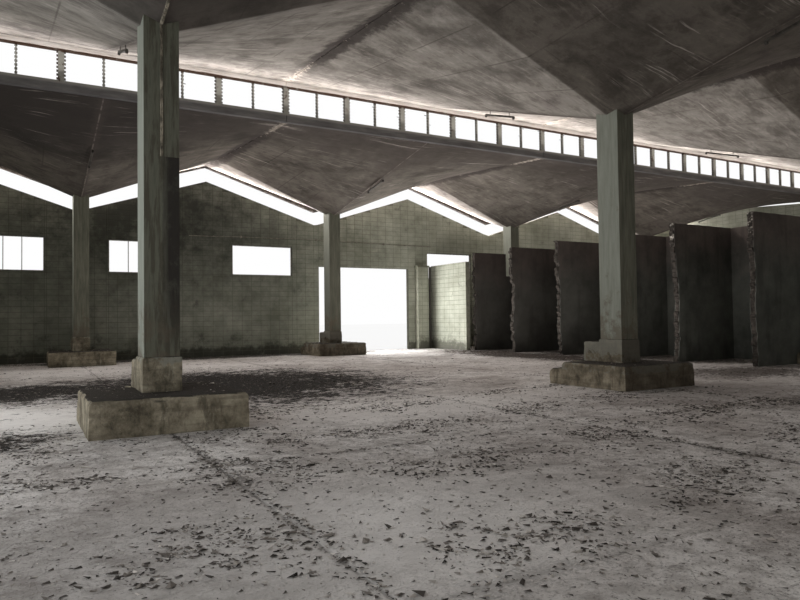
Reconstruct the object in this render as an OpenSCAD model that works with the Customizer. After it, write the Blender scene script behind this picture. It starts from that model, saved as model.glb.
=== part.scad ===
// Factory hall roofed by tilted umbrella shells of reinforced concrete.
// Each umbrella is four hyperbolic paraboloid quadrants on one column. The rows
// lean the same way, so the high rim of one row clears the low rim of the next
// and leaves a clerestory strip. Block walls stand free below the roof.
// X runs along the long far wall, Y across the rows towards it, Z up.

/* [Roof] */
// number of umbrellas in each row
bays = 4; // [2:1:4]
// distance between column lines along the wall
bay_w = 9700; // [8000:50:9900]
// depth of one whole umbrella across the rows
row_d = 15700; // [12000:50:17000]
// vertical thickness of the concrete shell
shell_t = 80; // [50:5:140]
// underside of the shell over the middle of a column, above the floor
throat_h = 5850; // [4500:50:7000]
// rise of the underside from the column to the rim
shell_rise = 1960; // [1200:20:2600]
// how much higher the far rim lies than the near rim
rim_lift = 1180; // [900:20:1500]
// open joint between neighbouring umbrellas
seam = 20; // [10:5:40]
// grid cells from the column to the rim, each way
cells = 5; // [3:1:7]

/* [Columns] */
// column width along the wall
col_w = 500; // [350:10:700]
// column depth across the rows
col_d = 600; // [400:10:800]
// how far the pedestal stands proud of the column, all round
pedestal_lip = 30; // [20:5:90]
// height of the pedestal under the column
pedestal_h = 500; // [200:20:800]
// plinth width along the wall
plinth_w = 2100; // [1400:20:2600]
// plinth depth across the rows
plinth_d = 2200; // [1400:20:2600]
// plinth height above the floor
plinth_h = 500; // [200:20:700]
// height of the broken step at one end of a plinth
step_h = 350; // [150:10:450]
// length of the low tail of the pedestal on its far side
tail_l = 480; // [0:20:700]
// how much lower the tail lies than the pedestal
tail_drop = 60; // [20:10:200]

/* [Eaves] */
// distance from the outer column lines to the outside of the long walls
eaves_out = 2100; // [1700:20:3000]
// thickness of the lip under the cut edge of the roof
lip_t = 120; // [60:10:200]
// depth of the lip at the peaks
lip_peak = 70; // [40:5:150]
// depth of the lip at the valleys
lip_valley = 200; // [100:10:300]
// open gap between the wall top and the roof edge
wall_gap = 600; // [300:20:900]
// drop from the edge of the shell to the top of the end walls, which follow it closely
end_gap = 100; // [90:10:900]

/* [Walls] */
// thickness of the block walls
wall_t = 200; // [150:10:300]
// distance from a column line to the near jamb of a window
win_off = 1100; // [700:20:1500]
// window width
win_w = 2660; // [1800:20:3000]
// window sill above the floor
win_sill = 3420; // [2400:20:3800]
// window height
win_h = 1290; // [800:10:1500]
// door jamb from its column line
door_off = 170; // [100:10:600]
// door height
door_h = 3880; // [2600:20:4200]

/* [Clerestory] */
// thickness of the beams along the rims
beam_t = 150; // [100:10:250]
// sill beam height, shell edge included
sill_h = 220; // [160:10:320]
// head beam depth below the high rim
head_h = 130; // [90:10:300]
// louvre units in each bay
units = 5; // [3:1:6]
// frame depth across the rows
frame_t = 110; // [60:5:140]
// width of the posts between units
post_w = 140; // [80:5:200]
// width of the mullion in the middle of a unit
mullion_w = 30; // [20:5:90]
// height of the rails at the top and foot of the frame
rail_h = 40; // [30:5:70]

/* [Bunkers] */
// height of the bunker walls
fin_h = 4450; // [3000:50:5000]
// thickness of the bunker walls
fin_t = 200; // [150:10:300]
// free length of the longest fin
fin_l = 3150; // [2400:50:4000]
// how ragged the broken ends are
fin_break = 160; // [0:20:300]
// height of one broken step
fin_step = 400; // [200:20:600]
// clearance between the bunkers and the plinths
bunker_gap = 20; // [10:10:200]
// height that is left of the broken end bay
broken_h = 3400; // [2000:50:4000]
// length that still stands to full height on the last fin
stump_l = 1850; // [800:50:2400]
// height of the low side wall by the door
side_h = 4050; // [3000:50:4400]
// how far that wall stands from the column line
side_off = 3550; // [3300:50:3800]
// space between the side wall and the pier by the door
pier_gap = 330; // [100:10:500]
// width of the pier between the door and the side wall
pier_w = 600; // [300:10:800]
// how far the pier stands out from the wall
pier_d = 300; // [150:10:500]
// thickness of the ledge on top of the pier
ledge_t = 80; // [50:10:150]

/* [Floor] */
// thickness of the floor slab
floor_t = 200; // [100:10:300]

/* [Hidden] */
half_w = bay_w / 2;
half_d = row_d / 2;
tilt = rim_lift / row_d;
hall_w = bays * bay_w;
row_y = [row_d, 0, -row_d];
far_y = row_d + eaves_out;
col_x = [for (i = [0:bays - 1]) (i - (bays - 1) / 2) * bay_w];
shell_x = half_w - seam / 2;
shell_y = half_d - beam_t / 2;
rim_low = throat_h + shell_rise - rim_lift / 2;
rim_high = throat_h + shell_rise + rim_lift / 2;
glass_low = rim_low + sill_h;
glass_high = rim_high - head_h;
unit_w = bay_w / units;
door_bay = min(1, bays - 1);
win_inner = win_off;
win_outer = win_off + win_w;
spine_x = col_x[min(2, bays - 1)];
spine_y0 = plinth_d / 2 + bunker_gap;
spine_y1 = row_d - plinth_d / 2 - bunker_gap;
// How much of the longest fin is left of each, from the middle row to the far row.
fin_left = [0.93, 0.92, 0.935, 0.95, 0.99, 1];
fin_count = len(fin_left);
fin_pitch = (spine_y1 - spine_y0 - fin_t) / (fin_count - 1);

// Underside of an umbrella, measured from its column foot at floor level.
soffit = function(x, y) throat_h
    + shell_rise * (1 - (1 - abs(x) / half_w) * (1 - abs(y) / half_d)) + tilt * y;

// Grid lines from the column face out to an edge, nearest first.
function spread(from, to) = [for (i = [0:cells]) from + (to - from) * i / cells];
function mirrored(list) = [for (i = [len(list) - 1:-1:0]) -list[i]];
shell_xs = concat(mirrored(spread(col_w / 2, shell_x)), [0], spread(col_w / 2, shell_x));
whole_ys = concat(mirrored(spread(col_d / 2, shell_y)), [0], spread(col_d / 2, shell_y));
cut_ys = concat([0, col_d / 2], [eaves_out - lip_t, eaves_out]);
far_ys = concat(mirrored(spread(col_d / 2, shell_y)), cut_ys);
near_ys = concat(mirrored(cut_ys), spread(col_d / 2, shell_y));

concrete = [0.55, 0.53, 0.49];
pale_paint = [0.74, 0.77, 0.73];
block_paint = [0.76, 0.80, 0.74];
raw_plinth = [0.50, 0.47, 0.42];
frame_paint = [0.62, 0.63, 0.61];
dark_plaster = [0.36, 0.35, 0.33];
floor_grey = [0.62, 0.60, 0.58];

// Solid between two height functions over a grid of x and y lines.
module grid_solid(xs, ys, lo, hi) {
    nx = len(xs);
    ny = len(ys);
    points = [for (k = [0, 1]) for (y = ys) for (x = xs) [x, y, k == 0 ? lo(x, y) : hi(x, y)]];
    function at(i, j, k) = (k * ny + j) * nx + i;
    function quad(p, q, r, s) = [[p, q, r], [p, r, s]];
    faces = [
        for (j = [0:ny - 2]) for (i = [0:nx - 2])
            each quad(at(i, j, 0), at(i + 1, j, 0), at(i + 1, j + 1, 0), at(i, j + 1, 0)),
        for (j = [0:ny - 2]) for (i = [0:nx - 2])
            each quad(at(i, j, 1), at(i, j + 1, 1), at(i + 1, j + 1, 1), at(i + 1, j, 1)),
        for (i = [0:nx - 2]) each quad(at(i, 0, 0), at(i, 0, 1), at(i + 1, 0, 1), at(i + 1, 0, 0)),
        for (i = [0:nx - 2])
            each quad(at(i, ny - 1, 0), at(i + 1, ny - 1, 0), at(i + 1, ny - 1, 1), at(i, ny - 1, 1)),
        for (j = [0:ny - 2]) each quad(at(0, j, 0), at(0, j + 1, 0), at(0, j + 1, 1), at(0, j, 1)),
        for (j = [0:ny - 2])
            each quad(at(nx - 1, j, 0), at(nx - 1, j, 1), at(nx - 1, j + 1, 1), at(nx - 1, j + 1, 0))
    ];
    polyhedron(points, faces);
}

// Upright panel: a profile in x and z, its outer face on y = 0, going back to -t.
module panel(t) {
    rotate([90, 0, 0]) linear_extrude(t) children();
}

module floor_slab() {
    color(floor_grey) translate([-hall_w / 2, -far_y, 0]) cube([hall_w, 2 * far_y, floor_t]);
}

// One umbrella in place: bay index and row index, on the grid lines given.
module umbrella(bay, row, ys) {
    if (bay < bays) color(concrete) translate([col_x[bay], row_y[row], floor_t])
        grid_solid(shell_xs, ys, soffit, function(x, y) soffit(x, y) + shell_t);
}

// Columns of a row: a straight shaft whose head follows the underside of the shell.
module columns(row) {
    color(pale_paint) for (x = col_x) translate([x, row_y[row], floor_t])
        grid_solid([-col_w / 2, 0, col_w / 2], [-col_d / 2, 0, col_d / 2],
            function(x, y) plinth_h + pedestal_h, soffit);
}

// Plinths of a row: a raised base with a broken lower step and a short pedestal.
module plinths(row) {
    ped_w = col_w + 2 * pedestal_lip;
    ped_d = col_d + 2 * pedestal_lip;
    color(raw_plinth) for (x = col_x) translate([x, row_y[row], floor_t]) {
        difference() {
            translate([-plinth_w / 2, -plinth_d / 2, 0]) cube([plinth_w, plinth_d, plinth_h]);
            translate([-plinth_w / 2 - 1, plinth_d / 2 - plinth_d / 6, step_h])
                cube([plinth_w / 3, plinth_d / 6 + 1, plinth_h]);
        }
        translate([-ped_w / 2, -ped_d / 2, 0]) cube([ped_w, ped_d, plinth_h + pedestal_h]);
        translate([-ped_w / 2, 0, 0])
            cube([ped_w, ped_d / 2 + tail_l, plinth_h + pedestal_h - tail_drop]);
    }
}

// Lower edge of the eaves lip: straight from valley to peak. Side is +1 far, -1 near.
function lip_edge(x, side) = let (y = side * eaves_out, k = abs(x) / half_w)
    (soffit(0, y) - lip_valley) * (1 - k) + (soffit(half_w, y) - lip_peak) * k;

module eaves_lips(row, side) {
    ys = side > 0 ? [eaves_out - lip_t, eaves_out] : [-eaves_out, lip_t - eaves_out];
    color(concrete) for (x = col_x) translate([x, row_y[row], floor_t])
        grid_solid(shell_xs, ys, function(x, y) lip_edge(x, side), soffit);
}

// Beams along the rims of both clerestories, one per umbrella.
module rim_beams(z, h) {
    color(concrete) for (x = col_x, y = [half_d, -half_d])
        translate([x - shell_x, y - beam_t / 2, floor_t + z]) cube([2 * shell_x, beam_t, h]);
}

// Rails at the foot and top of both louvre frames.
module louvre_rails() {
    color(frame_paint) for (y = [half_d, -half_d], z = [glass_low, glass_high - rail_h])
        translate([-hall_w / 2 + seam / 2, y - frame_t / 2, floor_t + z])
            cube([hall_w - seam, frame_t, rail_h]);
}

// Posts of one clerestory: wide ones between units, a slim mullion in the middle of each.
module louvre_posts(y) {
    open_h = glass_high - glass_low - 2 * rail_h;
    last = 2 * bays * units;
    color(frame_paint) for (i = [0:last]) {
        w = i % 2 == 0 ? post_w : mullion_w;
        x = -hall_w / 2 + i * unit_w / 2;
        left = max(x - w / 2, -hall_w / 2 + seam / 2);
        right = min(x + w / 2, hall_w / 2 - seam / 2);
        translate([left, y - frame_t / 2, floor_t + glass_low + rail_h])
            cube([right - left, frame_t, open_h]);
    }
}

// Elevation of one long-wall bay, centred on its column line.
module wall_profile(side, door) {
    top = function(x) lip_edge(x, side) - wall_gap;
    difference() {
        polygon([[-half_w, 0], [half_w, 0], [half_w, top(half_w)], [0, top(0)], [-half_w, top(half_w)]]);
        translate([-win_outer, win_sill]) square([win_w, win_h]);
        if (door) translate([door_off, -1]) square([half_w, door_h + 1]);
        else translate([win_inner, win_sill]) square([win_w, win_h]);
    }
}

module far_wall(bay) {
    if (bay < bays) color(block_paint)
        translate([col_x[bay], far_y, floor_t]) panel(wall_t) wall_profile(1, bay == door_bay);
}

module near_wall(bay) {
    if (bay < bays) color(block_paint)
        translate([col_x[bay], -far_y + wall_t, floor_t]) panel(wall_t) wall_profile(-1, false);
}

// Elevation of an end wall under one row, from y0 to y1 about the column line.
// Its high end is cut down to pass under the sill beam of the next row.
module end_profile(y0, y1) {
    top = function(y) throat_h + shell_rise + tilt * y - end_gap;
    difference() {
        polygon([[y0, 0], [y1, 0], [y1, top(y1)], [y0, top(y0)]]);
        translate([half_d - beam_t / 2 - seam, rim_low - end_gap]) square([beam_t, rim_high]);
        for (s = [-1, 1]) for (c = [half_d / 4, half_d * 3 / 4])
            if (s * c - win_w / 2 > y0 && s * c + win_w / 2 < y1)
                translate([s * c - win_w / 2, win_sill]) square([win_w, win_h]);
    }
}

module end_wall(x, row, y0, y1) {
    color(block_paint) translate([x, row_y[row], floor_t])
        rotate([90, 0, 90]) linear_extrude(wall_t) end_profile(y0, y1);
}

left_x = -hall_w / 2;
right_x = hall_w / 2 - wall_t;
edge_y = eaves_out - wall_t;

// Elevation of a bunker fin: square at the spine, its free end broken in steps.
module fin_profile(length, seed) {
    steps = floor(fin_h / fin_step);
    function end_x(k) = -length + fin_break * (0.5 + 0.5 * sin(137 * k + 71 * seed));
    polygon([
        [0, 0], [0, fin_h],
        for (k = [steps:-1:0]) each [
            [end_x(k), k == steps ? fin_h : (k + 1) * fin_step],
            [end_x(k), k * fin_step]
        ]
    ]);
}

// The fins, each broken back to its own length. The last has lost its upper inner corner.
module bunker_fins() {
    color(dark_plaster) for (k = [0:fin_count - 1])
        translate([spine_x - fin_t / 2, spine_y0 + k * fin_pitch + fin_t, floor_t])
            panel(fin_t) difference() {
                length = fin_l * fin_left[k];
                fin_profile(length, k);
                if (k == fin_count - 1)
                    translate([stump_l - length, broken_h]) square([length, fin_h]);
            }
}

// Spine wall behind the fins; its last bay is broken down to a lower height.
module bunker_spine() {
    full = spine_y0 + (fin_count - 2) * fin_pitch + fin_t;
    color(dark_plaster) translate([spine_x - fin_t / 2, 0, floor_t])
        rotate([90, 0, 90]) linear_extrude(fin_t) polygon([
            [spine_y0, 0], [spine_y1, 0], [spine_y1, broken_h],
            [full, broken_h], [full, fin_h], [spine_y0, fin_h]
        ]);
}

// Low wall from the far wall to the last fin, and the pier beside the door.
module door_side_wall() {
    y0 = spine_y1 + bunker_gap;
    wall_x = spine_x - side_off;
    color(block_paint) translate([wall_x, y0, floor_t])
        cube([fin_t, far_y - wall_t - y0, side_h]);
    color(block_paint) translate([wall_x - pier_gap - pier_w, far_y - wall_t - pier_d, floor_t]) {
        cube([pier_w, pier_d, side_h]);
        translate([-ledge_t / 2, -ledge_t / 2, side_h - ledge_t])
            cube([pier_w + ledge_t, pier_d + ledge_t / 2, ledge_t]);
    }
}

floor_slab();
umbrella(0, 0, far_ys);  // far_shell_1
umbrella(1, 0, far_ys);  // far_shell_2
umbrella(2, 0, far_ys);  // far_shell_3
umbrella(3, 0, far_ys);  // far_shell_4
umbrella(0, 1, whole_ys);  // mid_shell_1
umbrella(1, 1, whole_ys);  // mid_shell_2
umbrella(2, 1, whole_ys);  // mid_shell_3
umbrella(3, 1, whole_ys);  // mid_shell_4
umbrella(0, 2, near_ys);  // near_shell_1
umbrella(1, 2, near_ys);  // near_shell_2
umbrella(2, 2, near_ys);  // near_shell_3
umbrella(3, 2, near_ys);  // near_shell_4
columns(0);  // far_columns
columns(1);  // mid_columns
columns(2);  // near_columns
plinths(0);  // far_plinths
plinths(1);  // mid_plinths
plinths(2);  // near_plinths
eaves_lips(0, 1);  // far_eaves_lips
eaves_lips(2, -1);  // near_eaves_lips
rim_beams(rim_low, sill_h);  // sill_beams
rim_beams(glass_high, head_h + shell_t);  // head_beams
louvre_rails();
louvre_posts(half_d);  // far_louvre_posts
louvre_posts(-half_d);  // near_louvre_posts
far_wall(0);  // far_wall_1
far_wall(1);  // far_wall_2
far_wall(2);  // far_wall_3
far_wall(3);  // far_wall_4
near_wall(0);  // near_wall_1
near_wall(1);  // near_wall_2
near_wall(2);  // near_wall_3
near_wall(3);  // near_wall_4
end_wall(left_x, 0, -half_d, edge_y);  // left_wall_far
end_wall(left_x, 1, -half_d, half_d);  // left_wall_mid
end_wall(left_x, 2, -edge_y, half_d);  // left_wall_near
end_wall(right_x, 0, -half_d, edge_y);  // right_wall_far
end_wall(right_x, 1, -half_d, half_d);  // right_wall_mid
end_wall(right_x, 2, -edge_y, half_d);  // right_wall_near
bunker_fins();
bunker_spine();
door_side_wall();
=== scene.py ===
import math
from functools import partial

import bpy
import numpy as np
from mathutils import Matrix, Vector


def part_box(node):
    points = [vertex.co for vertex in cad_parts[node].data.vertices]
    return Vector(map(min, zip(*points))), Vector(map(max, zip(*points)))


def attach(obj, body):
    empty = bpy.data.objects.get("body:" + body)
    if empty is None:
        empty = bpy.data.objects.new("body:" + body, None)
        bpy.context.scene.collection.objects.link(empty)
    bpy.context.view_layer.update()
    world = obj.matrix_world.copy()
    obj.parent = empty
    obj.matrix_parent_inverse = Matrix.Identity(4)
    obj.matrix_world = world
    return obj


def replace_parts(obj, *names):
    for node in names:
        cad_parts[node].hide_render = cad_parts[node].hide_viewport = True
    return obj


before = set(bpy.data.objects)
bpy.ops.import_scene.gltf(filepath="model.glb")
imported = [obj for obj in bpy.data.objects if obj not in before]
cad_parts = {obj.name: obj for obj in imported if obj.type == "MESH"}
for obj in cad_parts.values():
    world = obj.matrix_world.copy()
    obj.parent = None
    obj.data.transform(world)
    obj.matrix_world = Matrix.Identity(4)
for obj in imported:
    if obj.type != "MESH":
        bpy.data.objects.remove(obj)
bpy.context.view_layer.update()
scene = bpy.context.scene

# Viewpoint
# The photograph is taken standing in the near row of bays, about 1.5 m above the
# floor, looking up the hall and across to the door. The roll is the tilt of the hand.
FLOOR = 0.20  # height of its top
eye = np.array([-16.31, -10.50, FLOOR + 1.53])
turn, pitch, roll = np.radians([29.4, 1.5, -0.70])
ahead = np.array([math.sin(turn) * math.cos(pitch), math.cos(turn) * math.cos(pitch), math.sin(pitch)])
level = np.array([math.cos(turn), -math.sin(turn), 0.0])
upward = np.cross(level, ahead)
right = math.cos(roll) * level + math.sin(roll) * upward
upward = math.cos(roll) * upward - math.sin(roll) * level


def stand(body, place, *axes):
    """Links an object and stands it at a place, its own X, Y and Z along the three axes given."""
    body.matrix_world = Matrix([[*row, at] for row, at in zip(np.array(axes).T, place)] + [[0, 0, 0, 1]])
    scene.collection.objects.link(body)


viewpoint = bpy.data.objects.new("viewpoint", bpy.data.cameras.new("viewpoint"))
focal_length, width = 667.8, 800  # in pixels of the photograph
viewpoint.data.lens = 36 * focal_length / width
viewpoint.data.clip_end = 500
stand(viewpoint, eye, right, upward, -ahead)
scene.camera = viewpoint
scene.view_settings.view_transform = "Standard"


# Surroundings and light
# A plain pale ground and an even white sky. Wide lamps inside the hall stand for the
# light that the pale floor and the openings throw about: they light, and aren't seen.
def tint(code):
    """Linear colour with alpha from an sRGB hex value."""
    parts = np.array([int(code[i:i + 2], 16) for i in (1, 3, 5)]) / 255
    return (*np.where(parts <= 0.04045, parts / 12.92, ((parts + 0.055) / 1.055) ** 2.4), 1.0)


def add(tree, kind, *values, ramp=(), **named):
    """Adds a shader node and fills its sockets in order. named has further values by socket, as
    in From_Min, and the node's settings, which are in small letters. A node given as a value
    stands for its output. ramp lists the stops of a colour ramp as (place, hex colour)."""
    made = tree.nodes.new("ShaderNode" + kind)
    for name, value in named.items():
        if name.islower():
            setattr(made, name, value)
    given = [*zip((socket for socket in made.inputs if socket.enabled), values)]
    given += [(made.inputs[name.replace("_", " ")], value)
              for name, value in named.items() if not name.islower()]
    for socket, value in given:
        if isinstance(value, bpy.types.Node):
            value = next(out for out in value.outputs if out.enabled)
        if isinstance(value, bpy.types.NodeSocket):
            tree.links.new(value, socket)
        else:
            socket.default_value = value
    for i, (place, stop) in enumerate(ramp):
        mark = made.color_ramp.elements[i] if i < 2 else made.color_ramp.elements.new(place)
        mark.position = place
        mark.color = tint(stop)
    return made


def finish(name):
    """A new material, put to add its nodes, the object's own metres, and its shader."""
    coat = bpy.data.materials.new(name)
    coat.use_nodes = True
    put = partial(add, coat.node_tree)
    return coat, put, put("TexCoord").outputs["Object"], coat.node_tree.nodes["Principled BSDF"]


def coated(base, roughness, height=None, strength=0, distance=0):
    """Gives the shader in hand its base colour, as a hex value or a node's colour, its
    roughness and, where there is a height, a bump of that strength and distance in metres."""
    links = shader.id_data.links
    if isinstance(base, str):
        shader.inputs["Base Color"].default_value = tint(base)
    else:
        links.new(next(out for out in base.outputs if out.enabled), shader.inputs["Base Color"])
    shader.inputs["Roughness"].default_value = roughness
    if height:
        bump = put("Bump", Height=height, Strength=strength, Distance=distance)
        links.new(bump.outputs[0], shader.inputs["Normal"])


def seen_directly():
    """1 for a ray that shows the surface itself, to the eye or in gloss or glass, 0 for the rest."""
    rays = put("LightPath").outputs
    seen = put("Math", rays["Is Camera Ray"], rays["Is Glossy Ray"], operation="MAXIMUM")
    return put("Math", seen, rays["Is Transmission Ray"], operation="MAXIMUM")


sky = scene.world = bpy.data.worlds.new("even_sky")
sky.use_nodes = True
put, backdrop = partial(add, sky.node_tree), sky.node_tree.nodes["Background"]
brightness = put("MapRange", seen_directly(), To_Min=0.80, To_Max=1.0)
sky.node_tree.links.new(brightness.outputs[0], backdrop.inputs["Strength"])
backdrop.inputs["Color"].default_value = (1, 1, 1, 1)


def lamp(name, place, facing, size, glow, colour="#ffffff", along=(0, 0, 0)):
    """A rectangular lamp that shines towards facing with an even glow and isn't seen itself.
    size is its width, which lies level or along the direction given, and its height. Its power
    is the glow times pi times its area, so a white sheet close to it shows the glow."""
    made = bpy.data.lights.new(name, "AREA")
    made.shape = "RECTANGLE"
    made.size, made.size_y = size
    made.energy = glow * math.pi * size[0] * size[1]
    made.color = tint(colour)[:3]
    body = bpy.data.objects.new(name, made)
    away = -np.array(facing, float) / np.linalg.norm(facing)
    side = np.array(along, float)
    if not side.any():
        side = np.cross((0, 0, 1) if abs(away[2]) < 0.9 else (0, 1, 0), away)
    side /= np.linalg.norm(side)
    stand(body, place, side, np.cross(away, side), away)
    body.visible_camera = body.visible_glossy = False


BAY, ROW = 9.70, 15.70  # from column to column, along X and along Y
# The sky is many times brighter than the hall, so the openings shine into it strongly
lamp("far_clerestory", (0, 7.76, 8.05), (0, -1, 0), (38.6, 0.72), 6.8, "#fff6f2")
lamp("clerestory_glare", (0, 7.48, 7.70), (0, -0.5, 0.87), (38.6, 0.3), 9.3, "#fff9f6")
lamp("near_clerestory", (0, -7.94, 8.05), (0, -1, 0), (38.6, 0.72), 4.2, "#fff6f2")
lamp("door_light", (-2.34, 17.56, 2.15), (0, -1, 0), (4.6, 3.8), 12.0)
# One lamp along each slope of the zigzag gap over the far wall, and then over the near wall
for k in range(16):
    side, half_bay = (1, -1)[k // 8], k % 8
    low_end = np.array([(half_bay // 2 - 1.5) * BAY, side * 17.72, 6.075 + side * 0.158])
    high_end = low_end + ((-BAY / 2, BAY / 2)[half_bay % 2], 0, 1.57)
    lamp(f"eaves_gap_{k + 1}", (low_end + high_end) / 2, (0, -side, 0),
         (5.09, 0.55), (32.0, 2.0)[k // 8], "#fff6f2", along=high_end - low_end)
# Light thrown about inside: the hall opens to the left and to the near side
lamp("left_opening", (-19.05, -1.5, 3.1), (1, 0, 0), (15, 5.4), 1.50, "#fafdff")
lamp("near_opening", (0, -17.45, 3.1), (0, 1, 0), (34, 5.4), 0.05)
for k, (x, width) in enumerate(((-18.2, 1.6), (-9.7, 3.4), (0, 3.4), (9.7, 3.4), (18.2, 1.6))):
    lamp(f"hall_light_{k + 1}", (x, 0, 6.9), (0, 0, -1), (width, 33), 0.12)
# The floor throws light back up at the shells, mostly in the far aisle
for k, (x, width, glow) in enumerate(((-9.7, 5.0, 1.2), (-0.85, 3.6, 2.85), (9.7, 5.0, 1.8))):
    lamp(f"far_floor_{k + 1}", (x, 8.6, 0.22), (0, 0, 1), (width, 12.6), glow, "#fff8f4")
    lamp(f"near_floor_{k + 1}", (x, -7.6, 0.22), (0, 0, 1), (width, 13.0), 0.12, "#fff8f4")

ground_coat, put, spot, shader = finish("pale_ground")
coated("#e6e4e0", 0.9)
# Seen directly, the ground is as white as the sky, and keeps part of the hall's shadow
share = put("MapRange", seen_directly(), To_Max=0.85)
whitened = put("MixShader", share, shader, put("Emission"))
nodes = ground_coat.node_tree
nodes.links.new(whitened.outputs[0], nodes.nodes["Material Output"].inputs["Surface"])
ground_mesh = bpy.data.meshes.new("ground")
ground_mesh.from_pydata([(-150, -150, 0), (150, -150, 0), (150, 150, 0), (-150, 150, 0)],
                        [], [(0, 1, 2, 3)])
ground_mesh.materials.append(ground_coat)
ground = bpy.data.objects.new("ground", ground_mesh)
scene.collection.objects.link(ground)


# Floor slab
# Unreinforced concrete cast in panels of about 4.85 m by 3.95 m and trowelled. The joints
# have opened and crumbled, most of all those along Y; soot, soil and wet tracks darken it.
def piece(name, points, faces, coats, slot, coat_of=None, smooth=None, **values):
    """A mesh object at the origin. points is (n, 3), faces a list of index arrays with 3 or 4
    columns, coat_of the material number of each face, smooth the crease angle in degrees."""
    mesh = bpy.data.meshes.new(name)
    corners = np.concatenate([np.ravel(f) for f in faces])
    counts = np.concatenate([np.full(len(f), f.shape[1]) for f in faces])
    mesh.vertices.add(len(points))
    mesh.vertices.foreach_set("co", np.ravel(points).astype(np.float32))
    mesh.loops.add(len(corners))
    mesh.loops.foreach_set("vertex_index", corners.astype(np.int32))
    mesh.polygons.add(len(counts))
    mesh.polygons.foreach_set("loop_start", np.concatenate([[0], np.cumsum(counts)[:-1]]).astype(np.int32))
    for coat in coats:
        mesh.materials.append(coat)
    if coat_of is not None:
        mesh.polygons.foreach_set("material_index", np.asarray(coat_of, np.int32))
    for key, amount in values.items():
        mesh.attributes.new(key, "FLOAT", "POINT").data.foreach_set("value", np.asarray(amount, np.float32))
    mesh.update(calc_edges=True)
    mesh.validate()
    if smooth is None:
        mesh.shade_flat()
    else:
        mesh.shade_smooth()
        mesh.set_sharp_from_angle(angle=math.radians(smooth))
    made = bpy.data.objects.new(name, mesh)
    scene.collection.objects.link(made)
    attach(made, "root")
    return made


def sheet_faces(rows, columns, first=0, flip=False):
    """Quads of a grid of points in row order; they face +Z where rows run along Y, columns along X."""
    at = first + np.arange(rows * columns).reshape(rows, columns)
    quads = np.stack([at[:-1, :-1], at[:-1, 1:], at[1:, 1:], at[1:, :-1]], axis=-1).reshape(-1, 4)
    return quads[:, ::-1] if flip else quads


def xyz(x, y, z):
    """Points from their coordinates, which are numbers or arrays whose shapes go together."""
    return np.stack(np.broadcast_arrays(x, y, z), axis=-1)


def closed_slab(across, along, low, high):
    """Points and quads of a closed slab between two grids of heights, low and high; across and
    along are the grids of X and Y, with rows along Y."""
    rows, columns = across.shape
    points = np.concatenate([xyz(across, along, height).reshape(-1, 3) for height in (low, high)])
    at = np.arange(rows * columns).reshape(rows, columns)
    edge = np.concatenate([at[0, :-1], at[:-1, -1], at[-1, :0:-1], at[:0:-1, 0]])
    after = np.roll(edge, -1)
    lift = rows * columns
    walls = np.stack([edge, after, after + lift, edge + lift], axis=-1)
    return points, [sheet_faces(rows, columns, flip=True), sheet_faces(rows, columns, lift), walls]


def ripple(points, length, seed, octaves=3):
    """Smooth noise within about 1 either way: sine waves in random directions, each octave
    half as long and half as high as the one before."""
    draw = np.random.default_rng(seed)
    total = 0
    for octave in range(octaves):
        ways = draw.normal(size=(3, 5))
        ways *= 2 * np.pi * 2 ** octave / length / np.linalg.norm(ways, axis=0)
        total = total + np.sin(points @ ways + draw.uniform(0, 7, 5)).mean(axis=-1) / 2 ** octave
    return total


floor_low, floor_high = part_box("floor_slab")
joints_x = np.array([-14.55, -9.45, -4.85, 0.0, 4.85, 9.7, 14.55])
joints_y = -7.42 + 3.95 * np.arange(-2, 7)
groove = np.array([-0.07, -0.035, -0.014, -0.008, 0.008, 0.014, 0.035, 0.07])


def floor_lines(low, high, joints):
    """Grid lines every 0.3 m, with a close group across each joint."""
    plain = np.linspace(low, high, int((high - low) / 0.3) + 1)
    plain = plain[np.min(np.abs(plain[:, None] - joints), axis=1) > 0.12]
    return np.unique(np.concatenate([plain, (joints[:, None] + groove).ravel(), [low, high]]))


def off_joints(x, y, further):
    """Distance from the nearest joint; those along X count as that much further away."""
    return np.minimum(np.abs(x[..., None] - joints_x).min(-1),
                      np.abs(y[..., None] - joints_y).min(-1) + further)


xs = floor_lines(floor_low[0], floor_high[0], joints_x)
ys = floor_lines(floor_low[1], floor_high[1], joints_y)
across, along = np.meshgrid(xs, ys)
near_joint = off_joints(across, along, 0.016)
# The joints are 12 mm deep, more or less with the wear, and fade out at 70 mm
wear = ripple(xyz(across, along, 0), 0.9, 3, 4)
depth = np.interp(near_joint, [0.008, 0.014, 0.035, 0.07], [0.012, 0.007, 0.002, 0.0]) * (1 + 0.6 * wear)
points, faces = closed_slab(across, along, 0, FLOOR - np.clip(depth, 0, 0.02) - 0.001)


def noisy(scale, detail, roughness=0.5, distortion=0.0, vector=None):
    """A noise that reads the spot in metres, unless it is given another vector."""
    return put("TexNoise", vector or spot, Scale=scale, Detail=detail,
               Roughness=roughness, Distortion=distortion)


def mottled(ramp, *grain, **settings):
    """A noise, and the colours of a ramp that it drives."""
    noise = noisy(*grain, **settings)
    return noise, put("ValToRGB", noise, ramp=ramp)


def graded(field, low, high, most=1.0, least=0.0):
    """A share that grows evenly from least, where the field is at low, to most, where it is at
    high, and doesn't change beyond them."""
    return put("MapRange", field, low, high, least, most)


def over(base, share, colour, **settings):
    """A base colour under another, a hex value or a node's, that covers the share of it given."""
    colour = tint(colour) if isinstance(colour, str) else colour
    return put("Mix", share, base, colour, data_type="RGBA", **settings)


def laid(base, field, low, high, colour, most=1.0):
    """A base colour under another, whose share grows from none where the field is at low to most
    where it is at high."""
    return over(base, graded(field, low, high, most), colour)


def swayed(field, noise, reach, operation="SUBTRACT"):
    """A field less the reach times a noise, or with it added, so that what follows it frays."""
    return put("Math", field, put("Math", noise, reach, operation="MULTIPLY"), operation=operation)


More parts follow.
